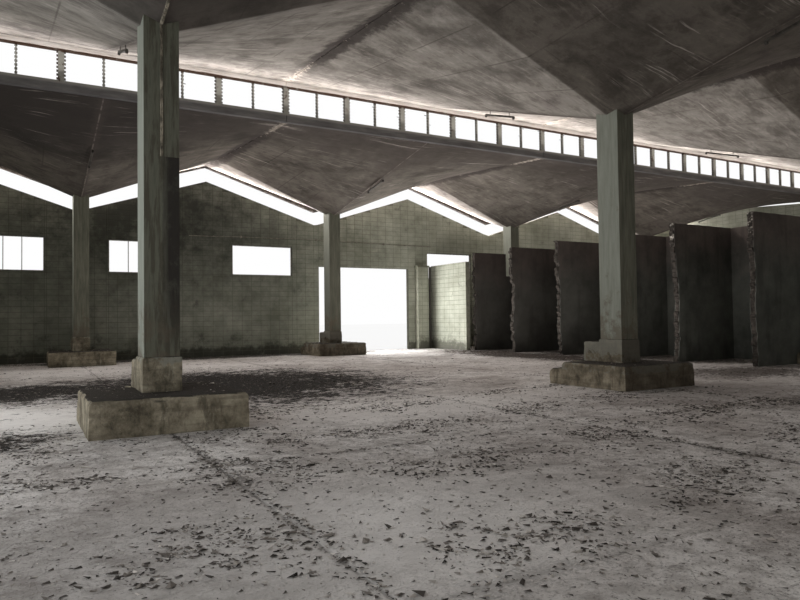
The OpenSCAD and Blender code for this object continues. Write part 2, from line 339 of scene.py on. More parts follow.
def off_centre(centre, reach):
    """Distance from a centre, each axis measured in units of the reach along it; a height that
    isn't given doesn't count."""
    centre, reach = (*centre, 0)[:3], (*reach, math.inf)[:3]
    inside = put("Mapping", spot, Location=[-c / r for c, r in zip(centre, reach)],
                 Scale=[1 / r for r in reach])
    return put("VectorMath", inside, operation="LENGTH").outputs["Value"]


# Trowelled concrete: dull and close, clouded by uneven curing, with dust that lies pale and
# damp that lies dark. The joints are filled with soil; two fires have left flakes of soot.
floor_coat, put, spot, shader = finish("trowelled_concrete")
_, base = mottled([(0.30, "#9a9490"), (0.44, "#c3bdb9"), (0.56, "#dbd7d4"), (0.70, "#ece9e6")],
                  0.4, 7, 0.64, distortion=0.3)
mottle = graded(noisy(2.8, 9, 0.76), 0.46, 0.60, 0.62)
base = over(base, mottle, "#87807b")
# Fine dirt trodden in, in spots of 50 to 150 mm
dirt = noisy(9, 8, 0.8)
base = laid(base, dirt, 0.50, 0.60, "#7f7974", 0.55)
# Pale dust swept by feet and wheels along the aisles, in smears a metre long
swept_way = put("Mapping", spot, Rotation=(0, 0, 0.35), Scale=(0.7, 2.6, 1))
dust = noisy(0.9, 8, 0.66, distortion=0.5, vector=swept_way)
base = laid(base, dust, 0.50, 0.68, "#dedad6", 0.6)
# Sand grains, drawn at 20 mm because finer ones would not show
grit = noisy(48, 5, 0.7)
specks = graded(grit, 0.56, 0.62, 0.75)
base = over(base, specks, "#6a6460")
# Soil in the joints and trodden out beside them
off_joint = put("Attribute", attribute_name="off_joint").outputs["Fac"]
drifts = noisy(0.55, 4, 0.7)
ragged = noisy(16, 6, 0.75, distortion=0.8)
beside = put("MapRange", off_joint, From_Max=0.17, To_Min=0.16, To_Max=0.0)
loose = put("Math", ragged, put("Math", drifts, beside))
soil = graded(loose, 1.16, 1.24, 0.5)
base = over(base, soil, "#4d4743")
crack = swayed(off_joint, ragged, 0.03)
base = laid(base, crack, 0.008, -0.008, "#4a443f", 0.7)
# Where the floor is walked on it is pale, and toward the sides soil has darkened it. Two pale patches are
# painted light: the one by the left wall at (-16.9, 1.7) is painted sunlight from the open left side, and the
# wide one in the far aisle at (-13.5, 12.2) is painted light from the clerestory, eaves and door.
wide = noisy(0.8, 3)
lit_patches_and_tracks = (((-13.8, -6.2), (2.0, 1.7), "#f2efec", 0.60), ((-10.6, -0.6), (3.6, 1.7), "#f2efec", 0.62),
          ((-16.3, -5.7), (1.9, 1.7), "#837d79", 0.45), ((-4.6, -2.2), (3.2, 2.0), "#837d79", 0.45),
          ((-16.9, 1.7), (2.4, 1.9), "#f6f3f0", 0.75), ((-13.5, 12.2), (6.0, 2.6), "#f2efec", 0.55))
for centre, reach, tone, most in lit_patches_and_tracks:
    base = laid(base, put("Math", off_centre(centre, reach), wide), 1.75, 0.9, tone, most)
# Dark patches, broken up into flakes at the rim: soot and soil, and a long strip that darkens the floor along
# the foot of the far wall
flaky = noisy(7.0, 9, 0.78, vector=put("Mapping", spot, Scale=(0.8, 1.1, 1)))
break_up = swayed(put("Math", flaky, 3.6, operation="MULTIPLY"), wide, 0.9, "ADD")
patches = (((-11.9, 5.4), (4.2, 4.6), "#292624", 1.0), ((-16.9, 5.9), (3.8, 2.5), "#2a2725", 1.0),
           ((-17.4, -0.6), (1.5, 1.0), "#2b2826", 1.0), ((-9.0, 16.9), (11.0, 1.1), "#3b3734", 0.9),
           ((2.6, 13.4), (2.6, 2.0), "#3f3934", 0.85), ((3.4, 7.4), (2.0, 6.0), "#453f3a", 0.8),
           ((0.7, 9.6), (1.5, 6.8), "#3b332e", 0.95), ((0.2, 0.4), (2.4, 1.5), "#4a433e", 0.8),
           ((1.5, -3.6), (6.5, 1.1), "#57514c", 0.7))
for centre, reach, tone, most in patches:
    edge = put("Math", off_centre(centre, reach), break_up)
    base = laid(base, edge, 3.17, 3.05, tone, most)
height = put("Math", put("Math", soil, specks), put("Math", mottle, grit))
coated(base, 0.86, height, 0.6, 0.010)
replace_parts(piece("floor", points, faces, [floor_coat], "floor_concrete", smooth=25,
                  off_joint=np.tile(near_joint.ravel(), 2)), "floor_slab")


# Fallen flakes
# Curled flakes of lime wash, plaster and dried soil, 20 to 110 mm long, lie on the floor and
# on the footings. They gather along the joints, in drifts, and thickest where the fires burned.
flake_coat, put, spot, shader = finish("plaster_flakes")
# Broken plaster: chalky and matt, each flake its own shade of soiled grey
tone = put("Attribute", attribute_name="tone").outputs["Fac"]
base = put("ValToRGB", tone,
           ramp=[(0.0, "#2b2825"), (0.50, "#5f5954"), (0.82, "#a19a93"), (1.0, "#e4ded8")])
coated(base, 0.95)


def flakes(places, reach, seed):
    """Points and triangles of curled chips on four corners, about three times as long as wide.
    Two opposite corners stand higher: the top folds along the line between them, and the
    underside along the line between the other two."""
    draw = np.random.default_rng(seed)
    count = len(places)
    angle = draw.uniform(-0.45, 0.45, (count, 4)) + np.pi / 4 + np.pi / 2 * np.arange(4)
    far = draw.uniform(0.75, 1.35, (count, 4))
    length, width = far * np.cos(angle), far * np.sin(angle) * draw.uniform(0.18, 0.60, (count, 1))
    lift = draw.uniform((0.10, 0.0, 0.10, 0.0), (0.45, 0.08, 0.45, 0.08), (count, 4))
    spin = draw.uniform(0, np.pi, (count, 1))
    x, y = length * np.cos(spin) - width * np.sin(spin), length * np.sin(spin) + width * np.cos(spin)
    points = xyz(x, y, lift) * reach[:, None, None] + places[:, None]
    sides = np.array([[0, 1, 2], [0, 2, 3], [0, 3, 1], [3, 2, 1]])
    faces = (np.arange(count)[:, None, None] * 4 + sides).reshape(-1, 3)
    return points.reshape(-1, 3), faces, draw.uniform(0, 1, count)


def strewn(count, low, high):
    """Points spread evenly over a rectangle of the floor."""
    return xyz(draw.uniform(low[0], high[0], count), draw.uniform(low[1], high[1], count), FLOOR)


def in_front(points):
    """Whether points are in the bays by the first column, from (-19.1, -12) to (-4.6, 0.8)."""
    return (points[:, 0] < -4.6) & (np.abs(points[:, 1] + 5.6) < 6.4)


# They lie closest in front
draw = np.random.default_rng(17)
tries = strewn(230000, (-19.1, -17.5), (19.1, 17.5))
tries = np.concatenate([tries[~in_front(tries)], strewn(170000, (-19.1, -12.0), (-4.6, 0.8))])
# Crowd is how likely a flake is to stay: along the joints, in drifts and where it burned
beside = off_joints(tries[:, 0], tries[:, 1], 0.04)
crowd = 0.07 + 1.0 * np.exp(-(beside / 0.08) ** 2) * np.clip(0.55 + ripple(tries, 1.3, 31), 0, 1)
drift = np.clip(ripple(tries, 1.9, 23, 5) - 0.06, 0, 0.45)
drift *= np.clip(0.6 + 0.9 * ripple(tries, 0.4, 41, 2), 0, 1.3)
crowd += 2.3 * drift
crowd *= np.interp(tries[:, 1], [-2.6, 0.2], [1.0, 0.38])
soot = 0
for centre, reach, _, most in patches:
    soot = np.maximum(soot, most * np.exp(-(np.hypot(*((tries[:, :2] - centre) / reach).T) / 0.9) ** 4))
crowd += 0.65 * soot
# None lie where the footings stand
clear = np.abs((tries[:, 0] + 2 * BAY) % BAY - BAY / 2) > 1.10
clear |= np.abs((tries[:, 1] + 1.5 * ROW) % ROW - ROW / 2) > 1.15
kept = clear & (draw.uniform(size=len(tries)) < crowd)
columns_x = (np.arange(4) - 1.5) * BAY
rows_y = {"far": ROW, "mid": 0.0, "near": -ROW}
# More of them on top of the footings, beside the columns
on_top = xyz(draw.uniform(-0.95, 0.95, 1800), draw.uniform(-1.0, 0.95, 1800), 0.502)
on_top = on_top[(np.abs(on_top[:, 0]) > 0.33) | (on_top[:, 1] < -0.38)]
foot = np.array([(x, y, FLOOR) for y in reversed(rows_y.values()) for x in columns_x])
chosen = np.concatenate([tries[kept], on_top + foot[np.arange(len(on_top)) % len(foot)]])
soot = np.concatenate([soot[kept], np.full(len(on_top), 0.1)])
reach = np.clip(np.exp(draw.normal(-4.02, 0.42, len(chosen))), 0.010, 0.050)
front, far_half = in_front(chosen), chosen[:, 1] >= 0
for name, part in (("front", front), ("near", ~front & ~far_half), ("far", ~front & far_half)):
    points, faces, tones = flakes(chosen[part], reach[part], 29)
    piece(f"fallen_flakes_{name}", points, [faces], [flake_coat], "floor_concrete",
          tone=np.repeat(tones * (1 - 0.2 * soot[part]), 4))


# Umbrella shells
# Each umbrella is four hyperbolic paraboloid quadrants of 80 mm reinforced concrete, cast
# on straight boards, brushed with thin lime wash, and leaning by 1.18 m across its depth.
RISE, LIFT = 1.96, 1.18  # from the column up to the rims, and from the low rim to the high one
THROAT, SHELL = FLOOR + 5.85, 0.08  # height of the underside over the column, and thickness


def soffit(x, y):
    """Height of the underside, x and y measured from the column: a saddle in each quadrant
    that rises from the column to all four rims, plus an even slope towards +Y."""
    return THROAT + RISE * (1 - (1 - np.abs(x) / (BAY / 2)) * (1 - np.abs(y) / (ROW / 2))) + LIFT / ROW * y


# Board-marked concrete with a thin lime wash: chalky, matt, clouded, with the sheet joints
# of the formwork showing and the wash lying in brush strokes, mostly along X.
under_coat, put, spot, shader = finish("board_marked_concrete")
x, y = put("SeparateXYZ", spot).outputs[:2]
clouds, base = mottled([(0.33, "#5a5651"), (0.43, "#7a7670"), (0.55, "#938f88"), (0.67, "#aea8a2")],
                       0.55, 9, 0.66, distortion=0.5)
mottle = noisy(1.7, 10, 0.74)
base = laid(base, mottle, 0.50, 0.60, "#5d5752", 0.6)
base = laid(base, mottle, 0.46, 0.36, "#bdb6b0", 0.34)
warp = noisy(0.35, 3).outputs["Color"]
bent = put("VectorMath", warp, (0.7, 0.7, 0), spot, operation="MULTIPLY_ADD")
washed = ((0.30, 0.0, (1.1, 7.0, 1.5), "#b9b2ab", 0.60, 0.40),
          (-0.45, 7.3, (1.0, 6.0, 1.5), "#b3aca5", 0.60, 0.36),
          (-1.2, 5.2, (1.4, 8.0, 1.5), "#5f5853", 0.61, 0.40))
scraped = ((0.12, 9.4, (0.30, 10.0, 1.0), "#cfc7c0", 0.645, 0.62),
           (-0.80, 2.2, (0.28, 8.0, 1.0), "#cfc7c0", 0.65, 0.6),
           (1.15, 4.1, (0.40, 9.0, 1.0), "#cfc7c0", 0.655, 0.5))


def kept_by(share, *limits):
    """A share times each of the limits, which run from 0, where it doesn't show, to 1."""
    for limit in limits:
        share = put("Math", share, limit, operation="MULTIPLY")
    return share


def stroked(base, strokes, sparse):
    """Brush strokes or scrapes over a base colour: noise stretched along one direction and cut
    off at a height, shown only where a wide noise is above sparse."""
    for spin, seed, stretch, wash, thin, most in strokes:
        brush = put("Mapping", bent, Location=(seed, seed, 0), Rotation=(0, 0, spin), Scale=stretch)
        stroke = noisy(1.0, 9, 0.66, vector=brush)
        patch = noisy(0.5, 4, vector=put("Mapping", spot, Location=(3 * seed, 5, 1)))
        here = graded(patch, sparse, sparse + 0.10, most)
        amount = graded(stroke, thin - 0.05, thin + 0.02)
        base = over(base, kept_by(amount, here), wash)
    return base


base = stroked(base, washed, 0.46)
# Distance from the column line and from the row, both within one umbrella
off_column = put("Math", put("Math", x, 1.5 * BAY), BAY / 2, operation="PINGPONG")
off_seam = put("Math", BAY / 2, off_column, operation="SUBTRACT")
toward_far = put("Math", y, -ROW / 2, ROW / 2, operation="WRAP")
off_row = put("Math", toward_far, operation="ABSOLUTE")
# Formwork sheets 1.20 m wide; their joints left a dark line about 20 mm wide, worn in places
joint_x = put("Math", off_seam, 0.60, operation="PINGPONG")
joint_y = put("Math", put("Math", toward_far, 1.30, operation="SUBTRACT"), 0.875, operation="PINGPONG")
for joint, spared, most in ((joint_x, 0.47, 0.62), (joint_y, 0.50, 0.42)):
    line = graded(joint, 0.022, 0.008, most)
    wear_and_shade = put("TexNoise", spot, W=spared, Scale=0.8, Detail=3, noise_dimensions="4D")
    wear_and_shade = graded(wear_and_shade, spared - 0.03, spared + 0.07)
    base = over(base, kept_by(line, wear_and_shade), "#4e4843")
# The near half of each umbrella is darker: partly it was never washed, partly this is painted shade, as that
# half faces away from the clerestory light
unwashed_and_shaded = graded(toward_far, 0.04, -0.04)
base = over(base, unwashed_and_shaded, "#b4b0ac", blend_type="MULTIPLY")
# Toward its low rim the near half is darker again, in clouds
darker_to_low_rim = put("Math", clouds, graded(toward_far, -4.2, -7.8, 0.30))
base = laid(base, darker_to_low_rim, 0.52, 0.72, "#3f3936", 0.75)
# Two dark clouded patches over the near half of the first middle umbrella and over the far row by the left
# wall: partly smoke from the burned floor below, partly painted shade on halves turned away from the
# clerestory light
for centre, reach, most in (((-13.6, -3.2), (6.5, 4.2), 0.78), ((-17.0, 9.6), (7.5, 3.4), 0.80)):
    smoke_and_shade = put("Math", off_centre(centre, reach), clouds)
    base = laid(base, smoke_and_shade, 1.62, 0.95, "#302c2a", most)
base = stroked(base, scraped, 0.53)
# Damp runs along the fold over the column line, and a thin pale line along the sharp arris of the fold is a
# painted highlight
frayed = noisy(2.6, 8, 0.74)
fold = swayed(off_column, frayed, 0.5)
base = laid(base, fold, -0.06, -0.20, "#4a433f", 0.55)
# A painted highlight: a thin pale line along the arris, broken by a noise
arris_highlight = graded(off_column, 0.022, 0.012, 0.3)
arris_highlight = kept_by(arris_highlight, graded(frayed, 0.44, 0.54))
base = over(base, arris_highlight, "#b5aca4")
# The seam between umbrellas leaks: black and crumbling, and near the clerestory pale where the
# arris has broken off
reach_of = swayed(off_seam, frayed, 0.80)
grime = graded(reach_of, -0.06, -0.22, 0.85)
leak = graded(off_row, 6.6, 5.4)
base = over(base, kept_by(grime, leak), "#383230")
chips = noisy(8, 8, 0.78)
held = put("Math", leak, 0.13, put("Math", off_seam, 0.75, operation="MULTIPLY"), operation="MULTIPLY_ADD")
chips = put("Math", chips, held, operation="SUBTRACT")
chips = graded(chips, 0.43, 0.48, 0.8)
base = over(base, chips, "#bdb3a8")
pits = noisy(22, 6, 0.66)
height = put("Math", pits, put("Math", chips, grime, operation="SUBTRACT"))
coated(base, 0.9, height, 0.5, 0.012)

roof_coat, put, spot, shader = finish("weathered_roof_concrete")
clouds, base = mottled([(0.32, "#6d6963"), (0.50, "#8a857d"), (0.68, "#a39e95")], 0.6, 7, 0.65)
lichen = graded(noisy(5.5, 6, 0.7), 0.58, 0.66, 0.7)
base = over(base, lichen, "#5d5c50")
# Rain runs to the outlet over each column and leaves its silt there; felt covers the seams
x, y = put("SeparateXYZ", spot).outputs[:2]
off_column = put("Math", put("Math", x, 1.5 * BAY), BAY / 2, operation="PINGPONG")
off_row = put("Math", y, ROW / 2, operation="PINGPONG")
off_outlet = put("CombineXYZ", off_column, put("Math", off_row, 0.62, operation="MULTIPLY"))
off_outlet = put("VectorMath", off_outlet, operation="LENGTH").outputs["Value"]
silt = swayed(off_outlet, clouds, 5.0, "ADD")
base = laid(base, silt, 5.6, 2.6, "#46423b", 0.85)
felt = swayed(off_column, lichen, 0.05)
base = laid(base, felt, 4.66, 4.68, "#4b4947", 0.85)
coated(base, 0.92, clouds, 0.3, 0.02)

# An umbrella ends 10 mm short of the seam and 75 mm short of the middle of the clerestory;
# the outer rows are cut off past their columns
half_x, half_y, cut = BAY / 2 - 0.01, ROW / 2 - 0.075, 2.10
side_x = np.concatenate([np.linspace(0, half_x - 0.30, 15),
                         half_x - np.array([0.20, 0.12, 0.06, 0.02, 0.0])])
for row, centre_y in rows_y.items():
    y_low, y_high = {"far": (-half_y, cut), "mid": (-half_y, half_y), "near": (-cut, half_y)}[row]
    ys = np.unique(np.concatenate([np.linspace(y_low, 0, int(-y_low / 0.13) + 2),
                                   np.linspace(0, y_high, int(y_high / 0.13) + 2)]))
    xs = np.unique(np.concatenate([-side_x, side_x]))
    across, along = np.meshgrid(xs, ys)
    for bay, centre_x in enumerate(columns_x):
        low = soffit(across, along)
        high = low + SHELL
        here = xyz(across + centre_x, along + centre_y, low)
        # The lower arris along each seam has spalled, up to 30 mm deep
        rim = np.interp(half_x - np.abs(across), [0, 0.06, 0.22], [1, 0.7, 0])
        low = low + 0.030 * rim * np.clip(ripple(here, 0.55, 11 + bay, 4), 0, 1)
        points, faces = closed_slab(across, along, low, high)
        points += (centre_x, centre_y, 0)
        coat_of = np.repeat([0, 1, 0], [len(f) for f in faces])
        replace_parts(piece(f"umbrella_{row}_{bay + 1}", points, faces, [under_coat, roof_coat],
                          "shell_concrete", coat_of, smooth=3.5), f"{row}_shell_{bay + 1}")


# Eaves lips
# A lip cast with the shell stiffens the cut edge of the outer rows. It is painted dark as shade, since it is
# seen against the bright gap over the wall.
# Concrete painted dark for its shade: dull, with darker runs that hang from the edge.
lip_coat, put, spot, shader = finish("painted_shade_lip_concrete")
hanging = put("Mapping", spot, Scale=(3, 3, 0.6))
_, base = mottled([(0.35, "#2c2927"), (0.65, "#524d49")], 2.0, 6, vector=hanging)
coated(base, 0.9)


def dress(coat, *nodes):
    """Gives a material to CAD pieces that keep their own shape."""
    for node in nodes:
        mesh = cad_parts[node].data
        mesh.materials.clear()
        mesh.materials.append(coat)


dress(lip_coat, "far_eaves_lips", "near_eaves_lips")


# Head beams
# A shallow beam under each high rim holds the heads of the louvre frames. It keeps its lime wash, and rust
# from the steel has run over its lowest edge. Its face is drawn paler still, as painted glare from the bright
# clerestory beside it.
# Lime-washed concrete with painted glare: very pale and chalky, faintly pink, cracked along its length.
head_coat, put, spot, shader = finish("lime_wash_and_painted_glare")
level_way = put("Mapping", spot, Scale=(0.6, 2, 8))
bands, base = mottled([(0.34, "#bfb7b0"), (0.45, "#e2dbd5"), (0.64, "#f2ede9")],
                      1.6, 8, 0.66, vector=level_way)
height_of = put("SeparateXYZ", spot).outputs[2]
rusty = put("Math", bands, graded(height_of, 8.50, 8.47, 0.3))
base = laid(base, rusty, 0.74, 0.88, "#6a4c3b", 0.8)
coated(base, 0.88)
dress(head_coat, "head_beams")


# Sill beams
# A plain beam along the low rim of each row carries the louvre frames. Its face looks away from the
# clerestory light and is painted dark grey as shade; it is paler along its top edge.
# Cement-washed concrete in painted shade: bluish grey, with long level stains.
sill_coat, put, spot, shader = finish("cement_wash_and_painted_shade")
long_way = put("Mapping", spot, Scale=(0.5, 2, 2.5))
_, base = mottled([(0.34, "#4e4d4d"), (0.50, "#5e5d5e"), (0.66, "#6f6e6d")],
                  2.0, 8, 0.62, vector=long_way)
height_of = put("SeparateXYZ", spot).outputs[2]
base = laid(base, height_of, 7.58, 7.64, "#aaa8a3", 0.5)
coated(base, 0.85)
dress(sill_coat, "sill_beams")


# Louvre frames
# Posts, mullions and rails of folded steel, painted grey, between the two beams. Pairs of
# spring clips every 95 mm held glass blades; the glass is gone, but for a few stubs.
# Painted sheet steel: flat grey with a little gloss, flaking to brown rust at the head.
louvre_coat, put, spot, shader = finish("painted_sheet_steel")
flake = noisy(6, 7, 0.7)
height_of = put("SeparateXYZ", spot).outputs[2]
rusty = graded(height_of, 8.36, 8.43, 0.24)
rusty = graded(put("Math", flake, rusty), 0.58, 0.66)
base = over(tint("#85857f"), rusty, "#3f2d23")
coated(base, 0.6)
dress(louvre_coat, "louvre_rails", "far_louvre_posts", "near_louvre_posts")

# Rusted spring steel: nearly black brown and rough
clip_coat, put, spot, shader = finish("rusted_spring_steel")
_, base = mottled([(0.35, "#2e2722"), (0.65, "#52463b")], 30, 4)
coated(base, 0.7)


def many_boxes(low, high):
    """Points and quads of many separate boxes, from arrays of their lowest and highest corners."""
    pick = np.array([[(i >> k) & 1 for k in range(3)] for i in range(8)])
    points = np.where(pick, np.asarray(high)[:, None, :], np.asarray(low)[:, None, :]).reshape(-1, 3)
    sides = np.array([[0, 2, 3, 1], [4, 5, 7, 6], [0, 1, 5, 4], [2, 6, 7, 3], [0, 4, 6, 2], [1, 3, 7, 5]])
    return points, [(np.arange(len(low))[:, None, None] * 8 + sides).reshape(-1, 4)]


# Every other upright is a broad post, and those between are thin mullions
post = np.arange(41)
post_x = -19.4 + 0.97 * post
post_half = np.where(post % 2 == 0, 0.07, 0.015)
clip_out = np.where(post % 2 == 0, 0.034, 0.016)
clip_z = FLOOR + 7.51 + 0.095 * np.arange(8)
draw = np.random.default_rng(37)
for row, y in (("far", ROW / 2), ("near", -ROW / 2)):
    low, high = [], []
    for side in (-1, 1):
        use = slice(1, None) if side < 0 else slice(None, -1)
        edge, z = np.meshgrid((post_x + side * post_half)[use], clip_z)
        stub = (draw.uniform(size=edge.shape) < 0.07) & (z > FLOOR + 7.7)
        out = side * np.where(stub, draw.uniform(0.06, 0.11, edge.shape), clip_out[use])
        tall = np.where(stub, 0.012, 0.050).ravel()
        edge, z, out = edge.ravel(), z.ravel(), out.ravel()
        low.append(xyz(np.minimum(edge, edge + out), y - 0.035, z))
        high.append(xyz(np.maximum(edge, edge + out), y + 0.035, z + tall))
    points, faces = many_boxes(np.concatenate(low), np.concatenate(high))
    # Each clip leans like the blade it held
    points[:, 2] += 0.5 * (points[:, 1] - y)
    piece(f"blade_clips_{row}", points, faces, [clip_coat], "louvre_paint")


# Columns
# Reinforced concrete shafts, each hollow for the rain pipe, brushed with pale lime paint.
# The faces toward the near side are drawn darker olive as painted shade, since the light comes from the far
# side and the left, and smoke and damp have darkened the paint.
# Lime paint on concrete: chalky pale green-grey, with darker olive painted shade on the faces toward the near
# side.
column_coat, put, spot, shader = finish("lime_painted_concrete")
x, y, z = put("SeparateXYZ", spot).outputs
tall = put("Mapping", spot, Scale=(6.5, 6.5, 0.6))
streaks = noisy(2.2, 9, 0.66, vector=tall)
mottle = noisy(3.4, 9, 0.72)
paint = put("ValToRGB", streaks, ramp=[(0.30, "#7d8177"), (0.48, "#8a8e84"), (0.68, "#969a90")])
wear_and_shade = put("ValToRGB", streaks, ramp=[(0.34, "#56564a"), (0.50, "#6a6a5c"), (0.66, "#7d7c6d")])
to_far = put("SeparateXYZ", put("NewGeometry").outputs["Normal"]).outputs[1]
# Painted shade: the more a face looks toward the near side, the more it takes the darker olive colour
dirt_and_shade_to_near = graded(to_far, -0.2, -0.9, 0.86)
base = over(paint, dirt_and_shade_to_near, wear_and_shade)
# Rain that came down the first column has streaked it dark and rusty
one_bay = put("Math", x, -14.20, operation="LESS_THAN")
one_bay = kept_by(one_bay, graded(y, 1.0, 0.9))
runs = graded(streaks, 0.45, 0.57, 0.85)
base = over(base, kept_by(runs, dirt_and_shade_to_near, one_bay), "#3c372c")
# Smoke from the door has darkened the far columns beside it
by_door = kept_by(graded(x, -9.0, -8.0), graded(y, 9.0, 10.0, 0.38))
base = over(base, by_door, "#45463d")
# The foot is scuffed and splashed up to about a metre
splash = graded(z, 2.6, 1.1, 0.22)
base = laid(base, put("Math", mottle, splash), 0.62, 0.74, "#665d50", 0.7)
# On the first column of the middle row a black coat covers the right half of the near face,
# from 3.94 m above the floor down to about 1.2 m, where it thins out in runs
right_of = swayed(x, mottle, 0.10)
right_of = graded(right_of, -14.605, -14.575)
one_face = graded(y, -0.27, -0.295)
one_row = put("Math", y, -0.40, operation="GREATER_THAN")
black_top = FLOOR + 3.94
under = put("Math", z, black_top, operation="LESS_THAN")
above = graded(put("Math", z, streaks), 1.75, 2.75)
black = kept_by(right_of, one_bay, one_face, one_row, under, above)
thick = graded(x, -14.50, -14.45, 0.92, least=0.50)
thick = kept_by(thick, graded(mottle, 0.36, 0.48, least=0.72))
base = over(base, kept_by(black, thick), "#2b2725")
height = put("Math", mottle, streaks)
coated(base, 0.8, height, 0.4, 0.012)
dress(column_coat, "far_columns", "mid_columns", "near_columns")


# Plinths and pedestals
# Rough-cast footings that stand clear of the floor, with board marks, blow holes and
# broken arrises; the pedestal on top carries a ragged edge of old paint.
# Rough-cast concrete: tan and sandy, stained by runs of dirty water, black with soot on top.
plinth_coat, put, spot, shader = finish("rough_cast_concrete")
cloud, base = mottled([(0.36, "#554f43"), (0.45, "#7d7564"), (0.54, "#9c9380"), (0.64, "#b9b09b")],
                      2.2, 9, 0.72)
boards = noisy(1.5, 5, vector=put("Mapping", spot, Scale=(0.5, 0.5, 9)))
base = laid(base, boards, 0.52, 0.60, "#625a4e", 0.35)
runs = noisy(1.8, 8, 0.7, vector=put("Mapping", spot, Scale=(3, 3, 0.8)))
base = laid(base, runs, 0.52, 0.62, "#454034", 0.65)
# Old paint is left on the pedestals, down to a ragged edge
x, _, z = put("SeparateXYZ", spot).outputs
inner = graded(x, -12.0, -8.0)
held = kept_by(graded(z, 0.50, 0.54, 0.38), inner)
flaked = put("Math", cloud, graded(z, 0.85, 1.25, 0.5))
base = laid(base, put("Math", flaked, held), 0.86, 0.90, "#8f9086", 0.75)
# The footings further in are darker, with brick dust and soot on them, and on their faces toward the near
# side the dark is stronger, as painted shade
_, to_far, to_sky = put("SeparateXYZ", put("NewGeometry").outputs["Normal"]).outputs
dirt_and_shade_to_near = graded(to_far, -0.3, -0.8, 0.62, least=0.22)
base = over(base, kept_by(inner, dirt_and_shade_to_near), "#3f362e")
base = laid(base, put("Math", to_sky, cloud), 1.20, 1.40, "#35312d")
holes = put("TexVoronoi", spot, Scale=18)
holes = graded(holes.outputs["Distance"], 0.12, 0.26)
rough = noisy(16, 8, 0.72)
rough = swayed(holes, rough, 2.5, "ADD")
coated(base, 0.92, rough, 0.7, 0.014)


def closed_skin(rings, sides):
    """Quads from ring to ring of points, and the fans that close the first and the last ring on
    the two points that follow them all."""
    around, after = np.arange(sides), np.roll(np.arange(sides), -1)
    up = np.arange(rings - 1)[:, None] * sides
    skin = np.stack([up + around, up + after, up + sides + after, up + sides + around], axis=-1)
    last, end = (rings - 1) * sides, np.full(sides, rings * sides)
    return [skin.reshape(-1, 4), np.stack([after, around, end], axis=1),
            np.stack([last + around, last + after, end + 1], axis=1)]


def worn_block(low, high, wear, seed, step=0.055):
    """Points and faces of a block with broken arrises: rectangular rings climb the sides, round
    over the top edge and close on the middle; noise chips them most where they turn over."""
    low, high = np.array(low, float), np.array(high, float)
    middle, half = (low + high) / 2, (high - low) / 2
    climb = np.linspace(low[2], high[2] - 2 * wear, max(2, int((high[2] - low[2]) / step)))
    rings = [(0.0, z, 0.25) for z in climb]
    rings += [(0.15 * wear, high[2] - 0.9 * wear, 0.9), (0.45 * wear, high[2] - 0.35 * wear, 1.0),
              (1.2 * wear, high[2], 0.6)]
    rings += [(inset, high[2], 0.25) for inset in np.linspace(1.2 * wear, min(half[:2]) - 0.001, 7)[1:]]
    count = [max(2, int(2 * h / step)) for h in half[:2]]
    turns = np.array([(-1, -1), (1, -1), (1, 1), (-1, 1), (-1, -1)])
    side = np.concatenate([np.linspace(start, end, n, endpoint=False)
                           for start, end, n in zip(turns, turns[1:], count * 2)])
    inset, height, chip = (np.array(column)[:, None] for column in zip(*rings))
    corner = np.abs(side).min(axis=1)[None] > 0.97
    x = middle[0] + side[None, :, 0] * (half[0] - inset)
    y = middle[1] + side[None, :, 1] * (half[1] - inset)
    points = xyz(x, y, height).reshape(-1, 3)
    chip = np.maximum(chip, 0.7 * corner).ravel()
    bite = wear * np.clip(0.35 + ripple(points, 0.45, seed, 4), 0, 1.4) * chip
    bite += 0.004 * np.clip(1 + ripple(points, 0.11, seed + 5, 2), 0, 2)
    inward = middle - points
    inward[:, 2] = np.where(points[:, 2] > high[2] - 1.5 * wear, -0.5 * half[:2].min(), 0)
    points += bite[:, None] * inward / np.linalg.norm(inward, axis=1, keepdims=True)
    points[:, 2] = np.maximum(points[:, 2], low[2])
    top = points[-len(side):].mean(axis=0)
    return np.concatenate([points, [[middle[0], middle[1], low[2]], top]]), closed_skin(len(rings), len(side))


def gather(parts):
    """Joins several (points, faces) pairs into one."""
    points, faces, first = [], [], 0
    for some, quads in parts:
        points.append(some)
        faces += [q + first for q in quads]
        first += len(some)
    return np.concatenate(points), faces


# Lowest and highest corner of each block of a footing, and how far its arrises are worn
blocks = (((-1.05, -1.10, 0.0), (1.05, 0.735, 0.50), 0.034),
          ((-0.35, 0.70, 0.0), (1.05, 1.10, 0.50), 0.034),
          ((-1.05, 0.70, 0.0), (-0.33, 1.10, 0.35), 0.045),
          ((-0.28, -0.33, 0.40), (0.28, 0.33, 1.00), 0.020),
          ((-0.28, 0.0, 0.40), (0.28, 0.81, 0.94), 0.028))
for row, centre_y in rows_y.items():
    parts = []
    for bay, x in enumerate(columns_x):
        foot = (x, centre_y, FLOOR)
        for low, high, wear in blocks:
            seed = 40 + 10 * bay + int(centre_y) + len(parts)
            parts.append(worn_block(np.add(low, foot), np.add(high, foot), wear, seed))
    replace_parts(piece(f"footings_{row}", *gather(parts), [plinth_coat], "raw_concrete", smooth=30),
                f"{row}_plinths")


# Block walls
# Hollow concrete blocks, 400 by 200 mm, laid in stack bond with 12 mm joints and brushed
# with pale olive paint. The mortar behind them is the CAD wall; each block face stands 5 mm
# proud of it and is cut to the jambs and to the sloping top of the wall.
WALL_X, WALL_Y = 19.30, 17.70  # the middles of the walls, 0.20 m thick


